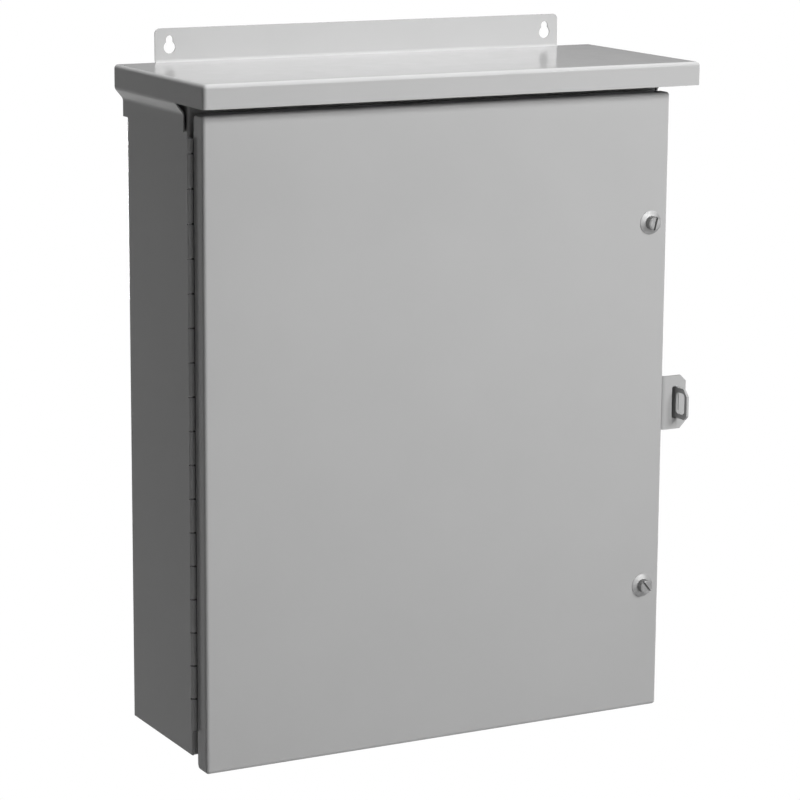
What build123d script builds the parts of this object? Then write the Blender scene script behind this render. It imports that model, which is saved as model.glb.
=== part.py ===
from build123d import *
import os

# A wall-mounted outdoor electrical enclosure, folded from sheet steel
# Millimetres, +Z up, with the origin on the wall plane at the middle of the back
# The front faces -Y, so a plane XZ offset by d stands d in front of the wall

os.makedirs("parts", exist_ok=True)

# Sheet steel
sheet = 1.5
bend = 1.5
overrun = 5.0
upright = 90.0

# Body: a wrap of back and sides, closed by a top and a bottom pan
body_width = 600.0
body_height = 767.0
body_depth = 171.0
step_in = 16.5
collar_clearance = 10.5
collar_depth = 20.0
landing_width = 26.0

# Cover: a shallow pan in front of the body
cover_depth = 25.0
cover_gap = 10.0
cover_drop = 13.0
cover_bend = 2.5
cover_corner = 3.0
flange_end_round = 8.0

# Drip shield: top, skirts and the mounting flange
shield_side = 14.5
shield_front = 38.4
shield_skirt = 27.0
shield_gap = 11.0
shield_bend = 3.0
lip_gap = 3.0
lip_slope_drop = 12.0
lip_height = 20.0
lip_bend = 6.0
lip_setback = 3.0
flange_height = 38.6
flange_inset = 35.0
flange_corner = 6.0

# Keyholes in the mounting flange, and the lower fixing holes in the back
keyhole_inset = 18.0
keyhole_rise = 17.0
keyhole_head_r = 7.2
keyhole_neck_r = 4.4
keyhole_lift = 8.8
fixing_hole_r = 5.5
fixing_hole_height = 40.0

# Continuous hinge
hinge_leaf = 1.4
hinge_pin_r = 3.0
hinge_clearance = 0.08
hinge_pitch = 38.6
hinge_full_knuckles = 17
hinge_short_share = 0.45
hinge_joint_gap = 2.0
hinge_foot = 44.0
hinge_axis_inset = 0.4
hinge_notch_clearance = 0.6
body_leaf_width = 12.6
cover_leaf_width = 22.0

# Cover screws, held captive in the cover
screw_edge = 23.3
screw_end = 152.0
screw_r = 3.15
screw_clearance = 0.5
screw_head_r = 8.0
screw_head_height = 9.5
screw_head_chamfer = 1.3
screw_slot_width = 2.6
screw_slot_depth = 3.6
screw_slot_tilts = {"upper": 76.0, "lower": 128.0}
screw_pitch = 1.27
screw_turns = 7
screw_tip = 1.5
screw_tip_chamfer = 0.8
washer_r = 14.0
washer_thickness = 2.6
washer_rim = 0.6
washer_crown = 0.4
retainer_r = 5.6
retainer_thickness = 1.0
retainer_clearance = 0.06
retainer_play = 0.1
retainer_rest_gap = 0.3
groove_depth = 0.6
weld_nut_across = 11.1
weld_nut_height = 5.5
weld_nut_turn = 30.0

# Padlock hasp on the cover and its staple on the body
hasp_sheet = 2.5
hasp_bend = 4.5
hasp_setback = 4.0
hasp_leg = 19.0
hasp_reach = 34.5
hasp_height = 65.0
hasp_corner = 7.5
hasp_slot_width = 9.5
hasp_slot_height = 39.0
hasp_slot_round = 3.0
hasp_slot_side = 5.0
staple_bar = 3.0
staple_bend = 2.0
staple_offset = 20.5
staple_height = 37.0
staple_reach = 24.5
staple_base = 34.0
staple_base_height = 46.0
staple_clearance = 1.0
staple_setback = 8.0
staple_corner = 8.0
staple_foot_corner = 5.0
eye_width = 18.0
eye_height = 26.0
eye_corner = 5.0
eye_edge = 5.0

# Panel studs and the ground stud on the back
stud_inset = 60.0
stud_r = 3.95
stud_length = 30.0
stud_collar_r = 7.0
stud_collar_height = 9.0
stud_chamfer = 0.8
ground_stud_shift = 70.0
ground_stud_r = 3.15
ground_stud_length = 24.0
ground_base_r = 6.0
ground_base_height = 2.0
ground_washer_r = 8.0
ground_washer_thickness = 1.6
ground_nut_across = 11.1
ground_nut_height = 5.5
nut_clearance = 0.1
nut_chamfer = 0.6

# Places that follow from the sizes above
half_width = body_width / 2
half_height = body_height / 2
bend_out = bend + sheet
ring_depth = body_depth + collar_depth
cover_rear = body_depth + cover_gap
cover_front = cover_rear + cover_depth
cover_inner = cover_front - sheet

hinge_bore_r = hinge_pin_r + hinge_clearance
hinge_r = hinge_bore_r + hinge_leaf
hinge_x = -half_width + hinge_axis_inset
hinge_y = -(body_depth + hinge_r)
cover_half = -(hinge_x + hinge_r - hinge_leaf - sheet)
cover_bottom = -half_height - cover_drop
shield_top = half_height + sheet
cover_top = shield_top - shield_skirt - shield_gap
cover_height = cover_top - cover_bottom
top_step = half_height - cover_top + sheet + collar_clearance

shield_half = half_width + shield_side
shield_depth = cover_front + shield_front
skirt_bottom = shield_top - shield_skirt
flange_half = half_width - flange_inset
keyhole_x = flange_half - keyhole_inset
keyhole_z = shield_top + keyhole_rise
keyhole_neck_z = keyhole_z + keyhole_lift / 2

hinge_bottom = cover_bottom + hinge_foot
hinge_length = hinge_pitch * (hinge_full_knuckles + hinge_short_share)
hinge_top = hinge_bottom + hinge_length

screw_x = cover_half - screw_edge
screw_places = {"upper": cover_top - screw_end, "lower": cover_bottom + screw_end}
screw_hole_r = screw_r + screw_clearance
screw_travel = screw_pitch * screw_turns
retainer_front = cover_inner - screw_travel - retainer_rest_gap
nut_seat = ring_depth - sheet

hasp_z = (cover_top + cover_bottom) / 2
hasp_front = cover_front - hasp_setback
staple_x = cover_half + staple_offset
staple_tip = hasp_front + staple_reach
hasp_slot_x = staple_x - hasp_slot_side + hasp_slot_width / 2


# Edges round the section of a folded sheet: a run of outer faces, thickened to one side
def folded(points, radius, thickness, side):
    with BuildLine() as section:
        FilletPolyline(*points, radius=radius)
        offset(amount=thickness, side=side)
    return section.edges()


# Knuckle spans along the hinge, every other one, counted from its foot
def knuckle_spans(first):
    spans = []
    for index in range(first, hinge_full_knuckles + 1, 2):
        low = hinge_bottom + index * hinge_pitch
        high = min(low + hinge_pitch, hinge_top)
        spans.append((low + hinge_joint_gap / 2, high - hinge_joint_gap / 2))
    return spans


# Seam where a pan's front folds meet the wrap's, mitred through every bend
def mitre_seam(up, drop):
    reach = landing_width + overrun
    insets = [
        (sheet, sheet),
        (bend_out, bend_out),
        (step_in - bend_out, drop - bend_out),
        (step_in + reach, drop + reach),
    ]
    return [(-half_width + across, up * (half_height - down)) for across, down in insets]


# Body wrap: back, sides, and the rain collar and landing along each side of the opening
wrap_left = [
    (-half_width + step_in + landing_width, -ring_depth),
    (-half_width + step_in, -ring_depth),
    (-half_width + step_in, -body_depth),
    (-half_width, -body_depth),
    (-half_width, 0),
]
wrap_right = [(-x, y) for x, y in reversed(wrap_left)]
with BuildPart() as body_wrap:
    with BuildSketch(Plane.XY.offset(-half_height)):
        make_face(folded(wrap_left + wrap_right, bend_out, sheet, Side.RIGHT))
    extrude(amount=body_height)
    # Mitred ends of the collar, where the pans' collars meet it
    for up, drop in ((1, top_step), (-1, step_in)):
        seam = mitre_seam(up, drop)
        beyond = up * (half_height + overrun)
        with BuildSketch(Plane.XZ.offset(body_depth - bend_out)):
            with BuildLine():
                Polyline((seam[0][0], beyond), *seam, (seam[-1][0], beyond), close=True)
            make_face()
            mirror(about=Plane.YZ)
        extrude(amount=collar_depth + bend_out + overrun, mode=Mode.SUBTRACT)
    # Lower fixing holes through the back
    with BuildSketch(Plane.XZ):
        with Locations((0, -half_height + fixing_hole_height)):
            with GridLocations(2 * keyhole_x, 0, 2, 1):
                Circle(fixing_hole_r)
    extrude(amount=sheet, mode=Mode.SUBTRACT)
    # Screw holes through the right landing
    with BuildSketch(Plane.XZ.offset(nut_seat)):
        with Locations(*[(screw_x, z) for z in screw_places.values()]):
            Circle(screw_hole_r)
    extrude(amount=sheet + overrun, mode=Mode.SUBTRACT)
body_wrap.part.label = "body_wrap"
export_step(body_wrap.part, "parts/body_wrap.step")


# Pan across the body's top or bottom, with its stretch of collar and landing
def end_pan(up, drop):
    level = up * half_height
    profile = [
        (-sheet, level),
        (-body_depth, level),
        (-body_depth, level - up * drop),
        (-ring_depth, level - up * drop),
        (-ring_depth, level - up * (drop + landing_width)),
    ]
    seam = mitre_seam(up, drop)
    with BuildPart() as pan:
        with BuildSketch(Plane.YZ.offset(-half_width + sheet)):
            make_face(folded(profile, bend_out, sheet, Side.LEFT if up > 0 else Side.RIGHT))
        extrude(amount=body_width - 2 * sheet)
        # Rear corners that follow the wrap's bends
        fillet(pan.edges().filter_by(Axis.Z).group_by(Axis.Y)[-1], bend)
        # Mitred ends that meet the wrap's collar
        with BuildSketch(Plane.XZ):
            with BuildLine():
                Polyline(*seam, (seam[0][0], seam[-1][1]), close=True)
            make_face()
            mirror(about=Plane.YZ)
        extrude(amount=ring_depth + overrun, mode=Mode.SUBTRACT)
    return pan


top_pan = end_pan(1, top_step)
top_pan.part.label = "top_pan"
export_step(top_pan.part, "parts/top_pan.step")

bottom_pan = end_pan(-1, step_in)
bottom_pan.part.label = "bottom_pan"
export_step(bottom_pan.part, "parts/bottom_pan.step")

# Drip shield: one folded sheet with skirts, drip lips and the mounting flange
lip_face = half_width + lip_gap + sheet
lip_length = body_depth - lip_setback
flange_line = [
    (-(shield_bend + 2 * sheet), shield_top - sheet),
    (0, shield_top - sheet),
    (0, shield_top + flange_height),
]
lip_line = [
    (-shield_half, skirt_bottom + lip_height),
    (-shield_half, skirt_bottom),
    (-lip_face, skirt_bottom - lip_slope_drop),
    (-lip_face, skirt_bottom - lip_slope_drop - lip_height),
]
with BuildPart() as drip_shield:
    with BuildSketch(Plane.XY.offset(skirt_bottom)):
        with Locations((0, -shield_depth / 2)):
            Rectangle(2 * shield_half, shield_depth)
    extrude(amount=shield_skirt)
    top_edges = drip_shield.edges().group_by(Axis.Z)[-1]
    corner_edges = drip_shield.edges().filter_by(Axis.Z).group_by(Axis.Y)[0]
    fillet(top_edges.sort_by(Axis.Y)[:-1] + corner_edges, shield_bend + sheet)
    open_faces = [drip_shield.faces().sort_by(Axis.Z)[0], drip_shield.faces().sort_by(Axis.Y)[-1]]
    offset(amount=-sheet, openings=open_faces)
    # Relief where the flange folds up out of the top
    with BuildSketch(Plane.XY.offset(shield_top - sheet)):
        with Locations((0, -(shield_bend + sheet) / 2)):
            Rectangle(2 * flange_half, shield_bend + sheet)
    extrude(amount=sheet, mode=Mode.SUBTRACT)
    # Mounting flange
    with BuildSketch(Plane.YZ.offset(-flange_half)):
        make_face(folded(flange_line, shield_bend + sheet, sheet, Side.LEFT))
    extrude(amount=2 * flange_half)
    fillet(drip_shield.edges().filter_by(Axis.Y).group_by(Axis.Z)[-1], flange_corner)
    # Keyholes
    with BuildSketch(Plane.XZ):
        with Locations((-keyhole_x, keyhole_z), (keyhole_x, keyhole_z)):
            Circle(keyhole_head_r)
        with Locations((-keyhole_x, keyhole_neck_z), (keyhole_x, keyhole_neck_z)):
            SlotCenterToCenter(keyhole_lift, 2 * keyhole_neck_r, rotation=upright)
    extrude(amount=sheet, mode=Mode.SUBTRACT)
    # Drip lips: each side skirt turns in under itself and ends in an upright edge
    with BuildSketch(Plane.XZ):
        with Locations((0, skirt_bottom)):
            Rectangle(2 * shield_half, lip_height)
    extrude(amount=lip_length, mode=Mode.SUBTRACT)
    with BuildSketch(Plane.XZ):
        make_face(folded(lip_line, lip_bend + sheet, sheet, Side.LEFT))
        mirror(about=Plane.YZ)
    extrude(amount=lip_length)
drip_shield.part.label = "drip_shield"
export_step(drip_shield.part, "parts/drip_shield.step")

# Hinge leaf on the body's front step, with every other knuckle
with BuildPart() as hinge_body_leaf:
    with BuildSketch(Plane.XY.offset(hinge_bottom)):
        with Locations((hinge_x + hinge_r + hinge_notch_clearance, -body_depth)):
            Rectangle(
                body_leaf_width - hinge_r - hinge_notch_clearance,
                hinge_leaf,
                align=(Align.MIN, Align.MAX),
            )
    extrude(amount=hinge_length)
    for low, high in knuckle_spans(0):
        with BuildSketch(Plane.XY.offset(low)):
            with Locations((hinge_x, hinge_y)):
                Circle(hinge_r)
            with Locations((hinge_x, -body_depth)):
                Rectangle(body_leaf_width, hinge_leaf, align=(Align.MIN, Align.MAX))
            with Locations((hinge_x, hinge_y)):
                Circle(hinge_bore_r, mode=Mode.SUBTRACT)
        extrude(amount=high - low)
hinge_body_leaf.part.label = "hinge_body_leaf"
export_step(hinge_body_leaf.part, "parts/hinge_body_leaf.step")

# Hinge leaf inside the cover's left flange, with the other knuckles
with BuildPart() as hinge_cover_leaf:
    with BuildSketch(Plane.XY.offset(hinge_bottom)):
        with Locations((hinge_x + hinge_r, hinge_y - hinge_r - hinge_notch_clearance)):
            Rectangle(
                hinge_leaf,
                cover_leaf_width - hinge_r - hinge_notch_clearance,
                align=(Align.MAX, Align.MAX),
            )
    extrude(amount=hinge_length)
    for low, high in knuckle_spans(1):
        with BuildSketch(Plane.XY.offset(low)):
            with Locations((hinge_x, hinge_y)):
                Circle(hinge_r)
            with Locations((hinge_x + hinge_r, hinge_y)):
                Rectangle(hinge_leaf, cover_leaf_width, align=(Align.MAX, Align.MAX))
            with Locations((hinge_x, hinge_y)):
                Circle(hinge_bore_r, mode=Mode.SUBTRACT)
        extrude(amount=high - low)
hinge_cover_leaf.part.label = "hinge_cover_leaf"
export_step(hinge_cover_leaf.part, "parts/hinge_cover_leaf.step")

# Hinge pin
with BuildPart() as hinge_pin:
    with BuildSketch(Plane.XY.offset(hinge_bottom)):
        with Locations((hinge_x, hinge_y)):
            Circle(hinge_pin_r)
    extrude(amount=hinge_length)
hinge_pin.part.label = "hinge_pin"
export_step(hinge_pin.part, "parts/hinge_pin.step")

# Cover: a pan with rounded bends and open rear corners
with BuildPart() as cover:
    with BuildSketch(Plane.XZ.offset(cover_rear)):
        with Locations((0, hasp_z)):
            Rectangle(2 * cover_half, cover_height)
    extrude(amount=cover_depth)
    fillet(cover.edges().filter_by(Axis.Y), cover_corner)
    fillet(cover.faces().sort_by(Axis.Y)[0].edges(), cover_bend + sheet)
    offset(amount=-sheet, openings=cover.faces().sort_by(Axis.Y)[-1])
    # Rounded rear ends of the side flanges
    for side in (-1, 1):
        for end, toward in ((cover_top, -1), (cover_bottom, 1)):
            with BuildSketch(Plane.YZ.offset(side * (cover_half - cover_corner / 2))):
                with Locations((-cover_rear, end)):
                    Rectangle(
                        flange_end_round,
                        flange_end_round,
                        align=(Align.MAX, Align.MIN if toward > 0 else Align.MAX),
                    )
                with Locations((-cover_rear - flange_end_round, end + toward * flange_end_round)):
                    Circle(flange_end_round, mode=Mode.SUBTRACT)
            extrude(amount=cover_corner / 2 + overrun, both=True, mode=Mode.SUBTRACT)
    # Screw holes
    with BuildSketch(Plane.XZ.offset(cover_inner)):
        with Locations(*[(screw_x, z) for z in screw_places.values()]):
            Circle(screw_hole_r)
    extrude(amount=sheet, mode=Mode.SUBTRACT)
cover.part.label = "cover"
export_step(cover.part, "parts/cover.step")

# Hasp plate: an angle on the cover's right flange, slotted for the staple
hasp_line = [
    (cover_half, -hasp_front + hasp_leg),
    (cover_half, -hasp_front),
    (cover_half + hasp_reach, -hasp_front),
]
with BuildPart() as hasp_plate:
    with BuildSketch(Plane.XY.offset(hasp_z - hasp_height / 2)):
        make_face(folded(hasp_line, hasp_bend + hasp_sheet, hasp_sheet, Side.LEFT))
    extrude(amount=hasp_height)
    chamfer(hasp_plate.edges().filter_by(Axis.Y).group_by(Axis.X)[-1], hasp_corner)
    with BuildSketch(Plane.XZ.offset(hasp_front - hasp_sheet)):
        with Locations((hasp_slot_x, hasp_z)):
            RectangleRounded(hasp_slot_width, hasp_slot_height, hasp_slot_round)
    extrude(amount=hasp_sheet, mode=Mode.SUBTRACT)
hasp_plate.part.label = "hasp_plate"
export_step(hasp_plate.part, "parts/hasp_plate.step")

# Padlock staple: a flat bar cranked out from the body's side, with a tongue through the hasp
staple_seat = body_depth - staple_setback
shoulder_front = hasp_front - hasp_sheet - staple_clearance
staple_line = [
    (half_width, -staple_seat + staple_base),
    (half_width, -staple_seat),
    (staple_x, -staple_seat),
    (staple_x, -staple_tip),
]
with BuildPart() as padlock_staple:
    with BuildSketch(Plane.XY.offset(hasp_z - staple_base_height / 2)):
        make_face(folded(staple_line, staple_bend + staple_bar, staple_bar, Side.LEFT))
    extrude(amount=staple_base_height)
    # Shoulders behind the hasp plate, above and below the tongue
    with BuildSketch(Plane.YZ.offset(staple_x)):
        for up, grow in ((1, Align.MIN), (-1, Align.MAX)):
            with Locations((-shoulder_front, hasp_z + up * staple_height / 2)):
                Rectangle(staple_tip - shoulder_front + overrun, staple_base_height, align=(Align.MAX, grow))
    extrude(amount=staple_bar, mode=Mode.SUBTRACT)
    tip_edges = padlock_staple.edges().filter_by(Axis.X).group_by(Axis.Y)[0].sort_by(Axis.Z)
    chamfer(tip_edges[-1], staple_corner)
    chamfer(tip_edges[0], staple_foot_corner)
    with BuildSketch(Plane.YZ.offset(staple_x)):
        with Locations((-staple_tip + eye_edge + eye_width / 2, hasp_z)):
            RectangleRounded(eye_width, eye_height, eye_corner)
    extrude(amount=staple_bar, mode=Mode.SUBTRACT)
padlock_staple.part.label = "padlock_staple"
export_step(padlock_staple.part, "parts/padlock_staple.step")

# Cover screws with their coned washers, retaining rings and weld nuts
screw_seat = cover_front + washer_thickness
washer_line = [
    (screw_x + screw_hole_r, -cover_front),
    (screw_x + washer_r, -cover_front),
    (screw_x + washer_r, -cover_front - washer_rim),
    (screw_x + screw_head_r + washer_crown, -screw_seat),
    (screw_x + screw_hole_r, -screw_seat),
]
screw_end_depth = nut_seat - weld_nut_height - screw_tip
for name, place in screw_places.items():
    with BuildPart() as screw:
        with BuildSketch(Plane.XZ.offset(screw_seat)):
            with Locations((screw_x, place)):
                Circle(screw_head_r)
        extrude(amount=screw_head_height)
        chamfer(screw.faces().sort_by(Axis.Y)[0].edges(), screw_head_chamfer)
        with BuildSketch(Plane.XZ.offset(screw_seat + screw_head_height - screw_slot_depth)):
            with Locations((screw_x, place)):
                Rectangle(2 * screw_head_r, screw_slot_width, rotation=screw_slot_tilts[name])
        extrude(amount=screw_slot_depth, mode=Mode.SUBTRACT)
        with BuildSketch(Plane.XZ.offset(screw_end_depth)):
            with Locations((screw_x, place)):
                Circle(screw_r)
        extrude(amount=screw_seat - screw_end_depth)
        chamfer(screw.faces().sort_by(Axis.Y)[-1].edges(), screw_tip_chamfer)
        with BuildSketch(Plane.XZ.offset(retainer_front - retainer_thickness - retainer_play)):
            with Locations((screw_x, place)):
                Circle(screw_r + overrun)
                Circle(screw_r - groove_depth, mode=Mode.SUBTRACT)
        extrude(amount=retainer_thickness + 2 * retainer_play, mode=Mode.SUBTRACT)
    screw.part.label = f"{name}_screw"
    export_step(screw.part, f"parts/{name}_screw.step")

    with BuildPart() as washer:
        with BuildSketch(Plane.XY.offset(place)):
            with BuildLine():
                Polyline(*washer_line, close=True)
            make_face()
        revolve(axis=Axis((screw_x, 0, place), Axis.Y.direction))
    washer.part.label = f"{name}_screw_washer"
    export_step(washer.part, f"parts/{name}_screw_washer.step")

    with BuildPart() as retainer:
        with BuildSketch(Plane.XZ.offset(retainer_front - retainer_thickness)):
            with Locations((screw_x, place)):
                Circle(retainer_r)
                Circle(screw_r - groove_depth + retainer_clearance, mode=Mode.SUBTRACT)
        extrude(amount=retainer_thickness)
    retainer.part.label = f"{name}_screw_retainer"
    export_step(retainer.part, f"parts/{name}_screw_retainer.step")

    with BuildPart() as weld_nut:
        with BuildSketch(Plane.XZ.offset(nut_seat - weld_nut_height)):
            with Locations((screw_x, place)):
                RegularPolygon(weld_nut_across / 2, 6, major_radius=False, rotation=weld_nut_turn)
                Circle(screw_hole_r, mode=Mode.SUBTRACT)
        extrude(amount=weld_nut_height)
    weld_nut.part.label = f"{name}_screw_nut"
    export_step(weld_nut.part, f"parts/{name}_screw_nut.step")

# Panel studs, one near each corner of the back
stud_x = half_width - stud_inset
stud_z = half_height - stud_inset
stud_places = {
    "upper_left": (-stud_x, stud_z),
    "upper_right": (stud_x, stud_z),
    "lower_left": (-stud_x, -stud_z),
    "lower_right": (stud_x, -stud_z),
}
for name, (x, z) in stud_places.items():
    with BuildPart() as panel_stud:
        with BuildSketch(Plane.XZ.offset(sheet)):
            with Locations((x, z)):
                Circle(stud_collar_r)
        extrude(amount=stud_collar_height)
        with BuildSketch(Plane.XZ.offset(sheet + stud_collar_height)):
            with Locations((x, z)):
                Circle(stud_r)
        extrude(amount=stud_length - stud_collar_height)
        chamfer(panel_stud.faces().sort_by(Axis.Y)[0].edges(), stud_chamfer)
    panel_stud.part.label = f"{name}_panel_stud"
    export_step(panel_stud.part, f"parts/{name}_panel_stud.step")

# Ground stud with its washer and nut, beside the lower left panel stud
ground_x = -stud_x + ground_stud_shift
ground_seat = sheet + ground_base_height
with BuildPart() as ground_stud:
    with BuildSketch(Plane.XZ.offset(sheet)):
        with Locations((ground_x, -stud_z)):
            Circle(ground_base_r)
    extrude(amount=ground_base_height)
    with BuildSketch(Plane.XZ.offset(ground_seat)):
        with Locations((ground_x, -stud_z)):
            Circle(ground_stud_r)
    extrude(amount=ground_stud_length - ground_base_height)
    chamfer(ground_stud.faces().sort_by(Axis.Y)[0].edges(), stud_chamfer)
ground_stud.part.label = "ground_stud"
export_step(ground_stud.part, "parts/ground_stud.step")

with BuildPart() as ground_washer:
    with BuildSketch(Plane.XZ.offset(ground_seat)):
        with Locations((ground_x, -stud_z)):
            Circle(ground_washer_r)
            Circle(ground_stud_r + nut_clearance, mode=Mode.SUBTRACT)
    extrude(amount=ground_washer_thickness)
ground_washer.part.label = "ground_washer"
export_step(ground_washer.part, "parts/ground_washer.step")

with BuildPart() as ground_nut:
    with BuildSketch(Plane.XZ.offset(ground_seat + ground_washer_thickness)):
        with Locations((ground_x, -stud_z)):
            RegularPolygon(ground_nut_across / 2, 6, major_radius=False)
            Circle(ground_stud_r + nut_clearance, mode=Mode.SUBTRACT)
    extrude(amount=ground_nut_height)
    chamfer(ground_nut.faces().sort_by(Axis.Y)[0].edges().filter_by(GeomType.LINE), nut_chamfer)
ground_nut.part.label = "ground_nut"
export_step(ground_nut.part, "parts/ground_nut.step")
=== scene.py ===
import math

import bpy
from bpy.props import FloatProperty, FloatVectorProperty, IntProperty, PointerProperty
from mathutils import Matrix, Vector


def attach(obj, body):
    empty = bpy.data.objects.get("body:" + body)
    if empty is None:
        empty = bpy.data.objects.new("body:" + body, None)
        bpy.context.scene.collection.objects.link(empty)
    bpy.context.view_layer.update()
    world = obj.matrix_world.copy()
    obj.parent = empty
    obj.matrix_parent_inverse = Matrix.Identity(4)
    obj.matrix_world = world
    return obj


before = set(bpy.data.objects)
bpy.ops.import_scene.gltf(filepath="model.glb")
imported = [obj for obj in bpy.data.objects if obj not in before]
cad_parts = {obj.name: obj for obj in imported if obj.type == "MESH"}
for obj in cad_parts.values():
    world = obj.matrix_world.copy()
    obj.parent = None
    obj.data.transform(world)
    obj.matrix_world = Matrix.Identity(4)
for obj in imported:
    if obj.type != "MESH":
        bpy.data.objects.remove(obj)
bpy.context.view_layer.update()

bl_info = {
    "name": "Wall-mounted electrical enclosure",
    "version": (1, 0, 0),
    "blender": (4, 5, 0),
    "location": "View3D > Sidebar > Enclosure",
    "description": "Paint, plating, threads and studio for a sheet-steel wall box",
    "category": "Object",
}

# Nodes by finish
PAINTED = [
    "body_wrap", "top_pan", "bottom_pan", "drip_shield", "hinge_body_leaf", "hinge_cover_leaf",
    "cover", "hasp_plate", "padlock_staple", "upper_screw_nut", "lower_screw_nut",
]
PANEL_STUDS = [
    "upper_left_panel_stud", "upper_right_panel_stud", "lower_left_panel_stud", "lower_right_panel_stud",
]
PLATED = PANEL_STUDS + [
    "upper_screw", "lower_screw", "upper_screw_retainer", "lower_screw_retainer",
    "ground_stud", "ground_nut",
]
WASHERS = ["upper_screw_washer", "lower_screw_washer", "ground_washer"]

# Share of the noise range that most of its values fall in, and of open sky over which the painted shade in
# narrow gaps fades out
NOISE_SPAN = (0.3, 0.7)
SHADE_SPAN = (0.15, 0.5)

# Fineness of the clouds in the enamel and the plating
CLOUD_DETAIL = 2.0

# Enamel: fineness of its patterns, clouds as a share of a patch, and how far its roughness wanders
PATCH_DETAIL = 3.0
RIPPLE_DETAIL = 1.5
CLOUD_SHARE = 0.2
ENAMEL_ROUGH_SWING = 0.01

# Plating: fineness of its grain, clouds and bumps in grain widths, and how far tone and roughness wander
GRAIN_DETAIL = 4.0
ZINC_CLOUD_SHARE = 8.0
ZINC_BUMP_SHARE = 0.01
ZINC_TONE_SPREAD = 0.12
ZINC_SMOOTHER = 0.06
ZINC_ROUGHER = 0.1

# Drawn steel: streaks along Z
STREAK_SCALE = (1.0, 1.0, 0.05)
STREAK_DETAIL = 3.0
STEEL_TONE_SPREAD = 0.15
STEEL_ROUGH_SPAN = (0.3, 0.45)

# Share of a thread's height by which its root sinks into the core
ROOT_SHARE = 0.1

# Stage
WHITE = (1.0, 1.0, 1.0, 1.0)
FLOOR_REACH = 60.0
FLOOR_COLOUR = (0.5, 0.5, 0.5, 1.0)
FLOOR_FADE = 2.0
CARD_COLOUR = (0.02, 0.02, 0.02, 1.0)
MATT = 0.9
LAMP_TARGET = (0.0, -0.1, 0.0)
SENSOR_WIDTH = 36.0


class PaintSettings(bpy.types.PropertyGroup):
    """Grey enamel on the folded sheet, with shade painted into its narrow gaps."""

    colour: FloatVectorProperty(
        name="Colour", description="Grey of the enamel", subtype="COLOR",
        default=(0.4, 0.4, 0.4), min=0.0, max=1.0,
    )
    roughness: FloatProperty(
        name="Roughness", description="How dull the enamel is", default=0.16, min=0.05, max=1.0,
    )
    sheen: FloatProperty(
        name="Sheen", description="Strength of the enamel's reflections", default=0.1, min=0.0, max=1.0,
    )
    peel_size: FloatProperty(
        name="Peel size", description="Width of the orange-peel ripples", subtype="DISTANCE",
        unit="LENGTH", default=0.0022, min=0.0002,
    )
    peel_height: FloatProperty(
        name="Peel height", description="Height of the orange-peel ripples", subtype="DISTANCE",
        unit="LENGTH", default=0.000003, min=0.0,
    )
    mottle_size: FloatProperty(
        name="Mottle size", description="Width of the faint patches of tone", subtype="DISTANCE",
        unit="LENGTH", default=0.11, min=0.005,
    )
    mottle: FloatProperty(
        name="Mottle", description="Strength of the faint patches of tone", default=0.012, min=0.0, max=0.5,
    )
    # Painted shade: how far the ambient occlusion reaches, and how much of the enamel's colour it leaves
    # deep in a gap
    shade_reach: FloatProperty(
        name="Crevice reach", description="How wide a gap still darkens", subtype="DISTANCE",
        unit="LENGTH", default=0.009, min=0.0005,
    )
    shade_tone: FloatProperty(
        name="Crevice tone", description="Share of the colour left deep in a gap", default=0.15, min=0.0,
        max=1.0,
    )


class PlatingSettings(bpy.types.PropertyGroup):
    """Bright zinc plating and drawn steel."""

    colour: FloatVectorProperty(
        name="Zinc colour", description="Tint of the zinc plating", subtype="COLOR",
        default=(0.28, 0.28, 0.28), min=0.0, max=1.0,
    )
    roughness: FloatProperty(
        name="Zinc roughness", description="How dull the plating is", default=0.42, min=0.05, max=1.0,
    )
    washer_roughness: FloatProperty(
        name="Washer roughness", description="How dull the plating on the stamped washers is", default=0.6,
        min=0.05, max=1.0,
    )
    grain_size: FloatProperty(
        name="Grain size", description="Width of the turning marks", subtype="DISTANCE",
        unit="LENGTH", default=0.0006, min=0.0001,
    )
    steel_colour: FloatVectorProperty(
        name="Steel colour", description="Tint of the oiled steel pin", subtype="COLOR",
        default=(0.09, 0.09, 0.09), min=0.0, max=1.0,
    )


class ThreadSettings(bpy.types.PropertyGroup):
    """Screw threads on the shanks and studs."""

    pitch: FloatProperty(
        name="Pitch", description="Distance between neighbouring threads", subtype="DISTANCE",
        unit="LENGTH", default=0.00127, min=0.0003,
    )
    height: FloatProperty(
        name="Height", description="How far the thread stands off its core", subtype="DISTANCE",
        unit="LENGTH", default=0.00035, min=0.00005,
    )
    steps: IntProperty(
        name="Steps", description="Faces round one turn of the thread", default=28, min=8,
    )
    screw_radius: FloatProperty(
        name="Screw radius", description="Radius of the cover screws and the ground stud",
        subtype="DISTANCE", unit="LENGTH", default=0.00315, min=0.001,
    )
    stud_radius: FloatProperty(
        name="Stud radius", description="Radius of the panel studs", subtype="DISTANCE",
        unit="LENGTH", default=0.00395, min=0.001,
    )
    tip: FloatProperty(
        name="Tip", description="Plain stretch at the end of a thread", subtype="DISTANCE",
        unit="LENGTH", default=0.0012, min=0.0,
    )


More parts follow.
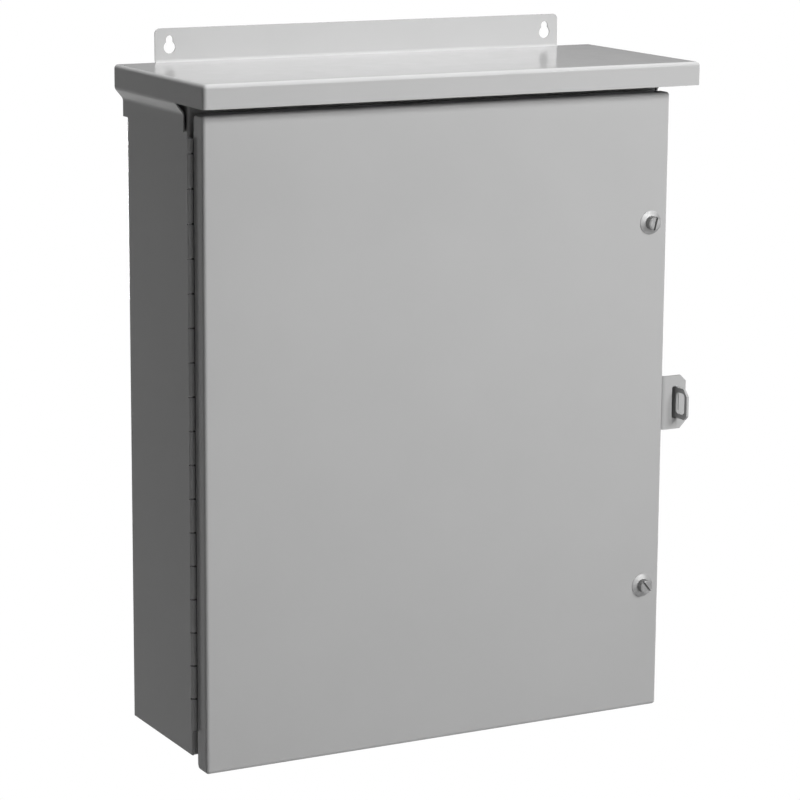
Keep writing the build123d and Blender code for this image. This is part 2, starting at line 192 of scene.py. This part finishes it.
class StageSettings(bpy.types.PropertyGroup):
    """Floor, studio light, dark card and camera."""

    floor_drop: FloatProperty(
        name="Floor drop", description="Floor below the middle of the box", subtype="DISTANCE",
        unit="LENGTH", default=1.4, min=0.5,
    )
    floor_lit: FloatProperty(
        name="Lit floor", description="Radius of the floor that shows the shadow", subtype="DISTANCE",
        unit="LENGTH", default=1.0, min=0.1,
    )
    floor_glow: FloatProperty(
        name="Floor glow", description="How far the lit floor is lifted towards white", default=0.7,
        min=0.0, max=1.0,
    )
    ambient: FloatProperty(
        name="Ambient", description="Strength of the even light from above the horizon", default=0.012,
        min=0.0,
    )
    horizon: FloatProperty(
        name="Horizon", description="Height over which the pale horizon fades", default=0.06, min=0.01,
        max=1.0,
    )
    key_power: FloatProperty(
        name="Key power", description="Power of the large lamp at the front right", subtype="POWER",
        unit="POWER", default=91.5, min=0.0,
    )
    key_width: FloatProperty(
        name="Key width", description="Width of the large lamp", subtype="DISTANCE", unit="LENGTH",
        default=1.7, min=0.1,
    )
    key_height: FloatProperty(
        name="Key height", description="Height of the large lamp", subtype="DISTANCE", unit="LENGTH",
        default=0.6, min=0.1,
    )
    key_place: FloatVectorProperty(
        name="Key place", description="Where the large lamp hangs", subtype="TRANSLATION", unit="LENGTH",
        default=(0.85, -2.6, 1.25),
    )
    top_power: FloatProperty(
        name="Top power", description="Power of the lamp overhead", subtype="POWER", unit="POWER",
        default=22.2, min=0.0,
    )
    top_size: FloatProperty(
        name="Top size", description="Side of the lamp overhead", subtype="DISTANCE", unit="LENGTH",
        default=0.8, min=0.1,
    )
    top_place: FloatVectorProperty(
        name="Top place", description="Where the lamp overhead hangs", subtype="TRANSLATION",
        unit="LENGTH", default=(-0.05, -0.15, 1.6),
    )
    back_power: FloatProperty(
        name="Back power", description="Power of the fill lamp behind", subtype="POWER", unit="POWER",
        default=34.0, min=0.0,
    )
    back_size: FloatProperty(
        name="Back size", description="Side of the fill lamp behind", subtype="DISTANCE", unit="LENGTH",
        default=0.7, min=0.1,
    )
    back_place: FloatVectorProperty(
        name="Back place", description="Where the fill lamp stands, below the top of the box",
        subtype="TRANSLATION", unit="LENGTH", default=(0.4, 2.6, 0.0),
    )
    card_place: FloatVectorProperty(
        name="Card place", description="Where the dark card hangs behind the box", subtype="TRANSLATION",
        unit="LENGTH", default=(1.15, 2.0, 0.86),
    )
    card_width: FloatProperty(
        name="Card width", description="Width of the dark card", subtype="DISTANCE", unit="LENGTH",
        default=2.2, min=0.1,
    )
    card_height: FloatProperty(
        name="Card height", description="Height of the dark card", subtype="DISTANCE", unit="LENGTH",
        default=0.88, min=0.1,
    )
    camera_place: FloatVectorProperty(
        name="Camera place", description="Where the camera stands", subtype="TRANSLATION", unit="LENGTH",
        default=(-1.64767, -3.20900, 0.72448),
    )
    camera_yaw: FloatProperty(
        name="Camera yaw", description="Turn of the camera towards +X from +Y", subtype="ANGLE",
        unit="ROTATION", default=math.radians(27.929),
    )
    camera_pitch: FloatProperty(
        name="Camera pitch", description="How far the camera looks down", subtype="ANGLE",
        unit="ROTATION", default=math.radians(11.825),
    )
    camera_roll: FloatProperty(
        name="Camera roll", description="Tilt of the picture about its middle", subtype="ANGLE",
        unit="ROTATION", default=math.radians(0.388),
    )
    camera_lens: FloatProperty(
        name="Camera lens", description="Focal length on a sensor 36 mm wide, in millimetres",
        default=137.75, min=10.0,
    )


# Material helpers
def new_material(name):
    material = bpy.data.materials.new(name)
    material.use_nodes = True
    tree = material.node_tree
    shader = tree.nodes["Principled BSDF"]
    return material, tree, shader


def noise(tree, size, detail, coordinates):
    node = tree.nodes.new("ShaderNodeTexNoise")
    node.inputs["Scale"].default_value = 1.0 / size
    node.inputs["Detail"].default_value = detail
    tree.links.new(coordinates, node.inputs["Vector"])
    return node.outputs["Fac"]


def remap(tree, value, span, low, high):
    node = tree.nodes.new("ShaderNodeMapRange")
    node.inputs["From Min"].default_value = span[0]
    node.inputs["From Max"].default_value = span[1]
    node.inputs["To Min"].default_value = low
    node.inputs["To Max"].default_value = high
    tree.links.new(value, node.inputs["Value"])
    return node.outputs["Result"]


def object_coordinates(tree):
    return tree.nodes.new("ShaderNodeTexCoord").outputs["Object"]


def tone_ramp(tree, value, colour, spread):
    node = tree.nodes.new("ShaderNodeValToRGB")
    low, high = node.color_ramp.elements
    low.position, high.position = NOISE_SPAN
    low.color = [c * (1.0 - spread) for c in colour] + [1.0]
    high.color = [c * (1.0 + spread) for c in colour] + [1.0]
    tree.links.new(value, node.inputs["Fac"])
    return node.outputs["Color"]


# Painted shade: a colour darkened by ambient occlusion in narrow gaps, where shade falls
def painted_crevice_shade(tree, colour, reach, depth):
    occlusion = tree.nodes.new("ShaderNodeAmbientOcclusion")
    occlusion.inputs["Distance"].default_value = reach
    darkened = tree.nodes.new("ShaderNodeVectorMath")
    darkened.operation = "MULTIPLY"
    tree.links.new(colour, darkened.inputs[0])
    tree.links.new(remap(tree, occlusion.outputs["AO"], SHADE_SPAN, depth, 1.0), darkened.inputs[1])
    return darkened.outputs["Vector"]


def bump(tree, height, distance):
    node = tree.nodes.new("ShaderNodeBump")
    node.inputs["Distance"].default_value = distance
    tree.links.new(height, node.inputs["Height"])
    return node.outputs["Normal"]


def assign(material, names):
    for name in names:
        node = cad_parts[name]
        node.data.materials.clear()
        node.data.materials.append(material)


# Finishes
def enamel(settings):
    material, tree, shader = new_material("grey_enamel")
    place = object_coordinates(tree)
    patches = noise(tree, settings.mottle_size, PATCH_DETAIL, place)
    clouds = noise(tree, settings.mottle_size * CLOUD_SHARE, CLOUD_DETAIL, place)
    ripples = noise(tree, settings.peel_size, RIPPLE_DETAIL, place)
    smooth = settings.roughness - ENAMEL_ROUGH_SWING
    dull = settings.roughness + ENAMEL_ROUGH_SWING
    rough = remap(tree, clouds, NOISE_SPAN, smooth, dull)
    shader.inputs["Specular IOR Level"].default_value = settings.sheen
    tone = tone_ramp(tree, patches, settings.colour, settings.mottle)
    # Painted shade: the enamel's colour is darkened in narrow gaps and joints, where shade falls
    tone = painted_crevice_shade(tree, tone, settings.shade_reach, settings.shade_tone)
    tree.links.new(tone, shader.inputs["Base Color"])
    tree.links.new(rough, shader.inputs["Roughness"])
    tree.links.new(bump(tree, ripples, settings.peel_height), shader.inputs["Normal"])
    return material


def zinc(name, settings, roughness):
    material, tree, shader = new_material(name)
    place = object_coordinates(tree)
    grain = noise(tree, settings.grain_size, GRAIN_DETAIL, place)
    clouds = noise(tree, settings.grain_size * ZINC_CLOUD_SHARE, CLOUD_DETAIL, place)
    rough = remap(tree, grain, NOISE_SPAN, roughness - ZINC_SMOOTHER, roughness + ZINC_ROUGHER)
    shader.inputs["Metallic"].default_value = 1.0
    tone = tone_ramp(tree, clouds, settings.colour, ZINC_TONE_SPREAD)
    tree.links.new(tone, shader.inputs["Base Color"])
    tree.links.new(rough, shader.inputs["Roughness"])
    normal = bump(tree, grain, settings.grain_size * ZINC_BUMP_SHARE)
    tree.links.new(normal, shader.inputs["Normal"])
    return material


def drawn_steel(settings):
    material, tree, shader = new_material("drawn_steel")
    streaks = tree.nodes.new("ShaderNodeMapping")
    streaks.inputs["Scale"].default_value = STREAK_SCALE
    tree.links.new(object_coordinates(tree), streaks.inputs["Vector"])
    lines = noise(tree, settings.grain_size, STREAK_DETAIL, streaks.outputs["Vector"])
    shader.inputs["Metallic"].default_value = 1.0
    tone = tone_ramp(tree, lines, settings.steel_colour, STEEL_TONE_SPREAD)
    rough = remap(tree, lines, NOISE_SPAN, *STEEL_ROUGH_SPAN)
    tree.links.new(tone, shader.inputs["Base Color"])
    tree.links.new(rough, shader.inputs["Roughness"])
    return material


# Lowest and highest corner of a CAD node, in the row frame
def node_box(name):
    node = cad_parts[name]
    corners = [node.matrix_world @ Vector(corner) for corner in node.bound_box]
    low = Vector([min(values) for values in zip(*corners)])
    high = Vector([max(values) for values in zip(*corners)])
    return low, high


# A helical ridge round an axis along Y, from y_from to y_to, faded out at both ends
def thread_ridge(name, x, z, radius, y_from, y_to, settings):
    count = round((y_to - y_from) / settings.pitch * settings.steps)
    half_pitch = settings.pitch / 2
    verts = []
    faces = []
    for i in range(count + 1):
        angle = 2.0 * math.pi * i / settings.steps
        y = y_from + (y_to - y_from) * i / count
        fade = min(1.0, i / settings.steps, (count - i) / settings.steps)
        crest = radius + settings.height * fade
        root = radius - settings.height * ROOT_SHARE
        for r, dy in ((root, -half_pitch), (crest, 0.0), (root, half_pitch)):
            verts.append((x + r * math.cos(angle), y + dy, z + r * math.sin(angle)))
        if i:
            a = 3 * (i - 1)
            b = 3 * i
            faces += [(a, a + 1, b + 1, b), (a + 1, a + 2, b + 2, b + 1), (a + 2, a, b, b + 2)]
    mesh = bpy.data.meshes.new(name)
    mesh.from_pydata(verts, [], faces)
    mesh.validate()
    mesh.materials.append(bpy.data.materials["zinc_plating"])
    ridge = bpy.data.objects.new(name, mesh)
    bpy.context.scene.collection.objects.link(ridge)
    return ridge


def aim(thing, target):
    thing.rotation_euler = (Vector(target) - thing.location).to_track_quat("-Z", "Y").to_euler()


class ENCLOSURE_OT_paint(bpy.types.Operator):
    """Give the folded sheet parts their grey enamel"""

    bl_idname = "enclosure.paint"
    bl_label = "Painted sheet"

    def execute(self, context):
        assign(enamel(context.scene.enclosure_paint), PAINTED)
        return {"FINISHED"}


class ENCLOSURE_OT_plating(bpy.types.Operator):
    """Give the screws, washers, studs and nuts their zinc plating, and the hinge pin its oiled steel"""

    bl_idname = "enclosure.plating"
    bl_label = "Plated hardware"

    def execute(self, context):
        settings = context.scene.enclosure_plating
        assign(zinc("zinc_plating", settings, settings.roughness), PLATED)
        assign(zinc("washer_plating", settings, settings.washer_roughness), WASHERS)
        assign(drawn_steel(settings), ["hinge_pin"])
        return {"FINISHED"}


class ENCLOSURE_OT_threads(bpy.types.Operator):
    """Wind the threads round the cover screws and the studs"""

    bl_idname = "enclosure.threads"
    bl_label = "Threads"

    def execute(self, context):
        settings = context.scene.enclosure_threads
        for end in ("upper", "lower"):
            # From the tip inside the weld nut to the ring that holds the screw in the cover
            start = node_box(f"{end}_screw")[1].y
            stop = node_box(f"{end}_screw_retainer")[1].y
            ridge = self.wind(f"{end}_screw", settings.screw_radius, stop, start, settings)
            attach(ridge, f"{end}_cover_screw")
        for name in PANEL_STUDS:
            low, high = node_box(name)
            # The collar, as tall as the stud's foot is wide to one side, stays plain
            collar = (high.x - low.x) / 2 + settings.tip
            ridge = self.wind(name, settings.stud_radius, low.y, high.y - collar, settings)
            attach(ridge, "enclosure_body")
        start = node_box("ground_stud")[0].y
        stop = node_box("ground_nut")[0].y
        ridge = self.wind("ground_stud", settings.screw_radius, start, stop, settings)
        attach(ridge, "enclosure_body")
        return {"FINISHED"}

    # Thread on a node, between two places along its axis
    def wind(self, node, radius, y_from, y_to, settings):
        low, high = node_box(node)
        centre = (low + high) / 2
        tip = settings.tip
        return thread_ridge(
            f"{node}_thread", centre.x, centre.z, radius, y_from + tip, y_to - tip, settings,
        )


class ENCLOSURE_OT_stage(bpy.types.Operator):
    """Set the floor, the studio light, the dark card and the camera"""

    bl_idname = "enclosure.stage"
    bl_label = "Stage"

    def execute(self, context):
        settings = context.scene.enclosure_stage
        self.world(context, settings)
        self.floor(context, settings)
        key_span = (settings.key_width, settings.key_height)
        top_span = (settings.top_size, settings.top_size)
        back_span = (settings.back_size, settings.back_size)
        self.lamp(context, "key_lamp", settings.key_place, settings.key_power, key_span)
        self.lamp(context, "top_lamp", settings.top_place, settings.top_power, top_span)
        self.lamp(context, "back_lamp", settings.back_place, settings.back_power, back_span)
        self.card(context, settings)
        self.camera(context, settings)
        context.scene.view_settings.view_transform = "Standard"
        return {"FINISHED"}

    # An even dim studio that pales towards the horizon, with a white backdrop wherever it is seen
    def world(self, context, settings):
        world = bpy.data.worlds.new("studio_world")
        world.use_nodes = True
        tree = world.node_tree
        light = tree.nodes["Background"]
        light.inputs["Color"].default_value = WHITE
        parts = tree.nodes.new("ShaderNodeSeparateXYZ")
        tree.links.new(tree.nodes.new("ShaderNodeTexCoord").outputs["Generated"], parts.inputs["Vector"])
        strength = remap(tree, parts.outputs["Z"], (0.0, settings.horizon), 1.0, settings.ambient)
        tree.links.new(self.greater(tree, strength, self.seen(tree)), light.inputs["Strength"])
        context.scene.world = world

    def greater(self, tree, one, other):
        node = tree.nodes.new("ShaderNodeMath")
        node.operation = "MAXIMUM"
        tree.links.new(one, node.inputs[0])
        tree.links.new(other, node.inputs[1])
        return node.outputs["Value"]

    # One to the camera, in reflections and through glass, nought to the light that falls on things
    def seen(self, tree):
        path = tree.nodes.new("ShaderNodeLightPath")
        seen = path.outputs["Is Camera Ray"]
        for ray in ("Is Glossy Ray", "Is Transmission Ray"):
            seen = self.greater(tree, seen, path.outputs[ray])
        return seen

    # A pale floor that shows the shadow near the object and runs out into white
    def floor(self, context, settings):
        mesh = bpy.data.meshes.new("floor")
        corners = [(-1, -1), (1, -1), (1, 1), (-1, 1)]
        mesh.from_pydata([(x * FLOOR_REACH, y * FLOOR_REACH, 0.0) for x, y in corners], [], [(0, 1, 2, 3)])
        material, tree, shader = new_material("pale_floor")
        shader.inputs["Base Color"].default_value = FLOOR_COLOUR
        shader.inputs["Roughness"].default_value = MATT
        far = tree.nodes.new("ShaderNodeEmission")
        lift = tree.nodes.new("ShaderNodeEmission")
        lift.inputs["Strength"].default_value = settings.floor_glow
        near = tree.nodes.new("ShaderNodeAddShader")
        tree.links.new(shader.outputs["BSDF"], near.inputs[0])
        tree.links.new(lift.outputs["Emission"], near.inputs[1])
        distance = tree.nodes.new("ShaderNodeVectorMath")
        distance.operation = "LENGTH"
        tree.links.new(object_coordinates(tree), distance.inputs["Vector"])
        span = (settings.floor_lit, FLOOR_FADE * settings.floor_lit)
        pale = tree.nodes.new("ShaderNodeMixShader")
        tree.links.new(remap(tree, distance.outputs["Value"], span, 0.0, 1.0), pale.inputs["Fac"])
        tree.links.new(near.outputs["Shader"], pale.inputs[1])
        tree.links.new(far.outputs["Emission"], pale.inputs[2])
        choice = tree.nodes.new("ShaderNodeMixShader")
        tree.links.new(self.seen(tree), choice.inputs["Fac"])
        tree.links.new(shader.outputs["BSDF"], choice.inputs[1])
        tree.links.new(pale.outputs["Shader"], choice.inputs[2])
        tree.links.new(choice.outputs["Shader"], tree.nodes["Material Output"].inputs["Surface"])
        mesh.materials.append(material)
        floor = bpy.data.objects.new("floor", mesh)
        floor.location.z = -settings.floor_drop
        context.scene.collection.objects.link(floor)

    # A dark card that only reflections show: the shield's top mirrors the flange against it
    def card(self, context, settings):
        mesh = bpy.data.meshes.new("dark_card")
        x = settings.card_width / 2
        z = settings.card_height / 2
        mesh.from_pydata([(-x, 0.0, -z), (x, 0.0, -z), (x, 0.0, z), (-x, 0.0, z)], [], [(0, 1, 2, 3)])
        material, _, shader = new_material("dark_card")
        shader.inputs["Base Color"].default_value = CARD_COLOUR
        shader.inputs["Roughness"].default_value = MATT
        mesh.materials.append(material)
        card = bpy.data.objects.new("dark_card", mesh)
        card.location = settings.card_place
        card.visible_camera = False
        card.visible_diffuse = False
        card.visible_transmission = False
        card.visible_shadow = False
        context.scene.collection.objects.link(card)

    def lamp(self, context, name, place, power, span):
        light = bpy.data.lights.new(name, "AREA")
        light.shape = "RECTANGLE"
        light.size, light.size_y = span
        light.energy = power
        lamp = bpy.data.objects.new(name, light)
        lamp.location = place
        lamp.visible_camera = False
        aim(lamp, LAMP_TARGET)
        context.scene.collection.objects.link(lamp)

    def camera(self, context, settings):
        data = bpy.data.cameras.new("camera")
        data.sensor_width = SENSOR_WIDTH
        data.lens = settings.camera_lens
        camera = bpy.data.objects.new("camera", data)
        upright = Matrix.Rotation(math.pi / 2 - settings.camera_pitch, 4, "X")
        turned = Matrix.Rotation(-settings.camera_yaw, 4, "Z") @ upright
        rolled = turned @ Matrix.Rotation(settings.camera_roll, 4, "Z")
        camera.matrix_world = Matrix.Translation(settings.camera_place) @ rolled
        context.scene.collection.objects.link(camera)
        context.scene.camera = camera


class ENCLOSURE_PT_sidebar(bpy.types.Panel):
    """Lists the steps that dress the enclosure"""

    bl_idname = "ENCLOSURE_PT_sidebar"
    bl_label = "Electrical enclosure"
    bl_space_type = "VIEW_3D"
    bl_region_type = "UI"
    bl_category = "Enclosure"

    def draw(self, context):
        for operator, group in STEPS:
            self.layout.operator(operator.bl_idname)
            settings = getattr(context.scene, group)
            for name in settings.__annotations__:
                self.layout.prop(settings, name)


STEPS = [
    (ENCLOSURE_OT_paint, "enclosure_paint"),
    (ENCLOSURE_OT_plating, "enclosure_plating"),
    (ENCLOSURE_OT_threads, "enclosure_threads"),
    (ENCLOSURE_OT_stage, "enclosure_stage"),
]
GROUPS = {
    "enclosure_paint": PaintSettings,
    "enclosure_plating": PlatingSettings,
    "enclosure_threads": ThreadSettings,
    "enclosure_stage": StageSettings,
}


def register():
    for name, group in GROUPS.items():
        bpy.utils.register_class(group)
        setattr(bpy.types.Scene, name, PointerProperty(type=group))
    for operator, _ in STEPS:
        bpy.utils.register_class(operator)
    bpy.utils.register_class(ENCLOSURE_PT_sidebar)


def unregister():
    bpy.utils.unregister_class(ENCLOSURE_PT_sidebar)
    for operator, _ in reversed(STEPS):
        bpy.utils.unregister_class(operator)
    for name, group in GROUPS.items():
        delattr(bpy.types.Scene, name)
        bpy.utils.unregister_class(group)


def main():
    register()
    bpy.ops.enclosure.paint()
    bpy.ops.enclosure.plating()
    bpy.ops.enclosure.threads()
    bpy.ops.enclosure.stage()


if __name__ == "__main__":
    main()
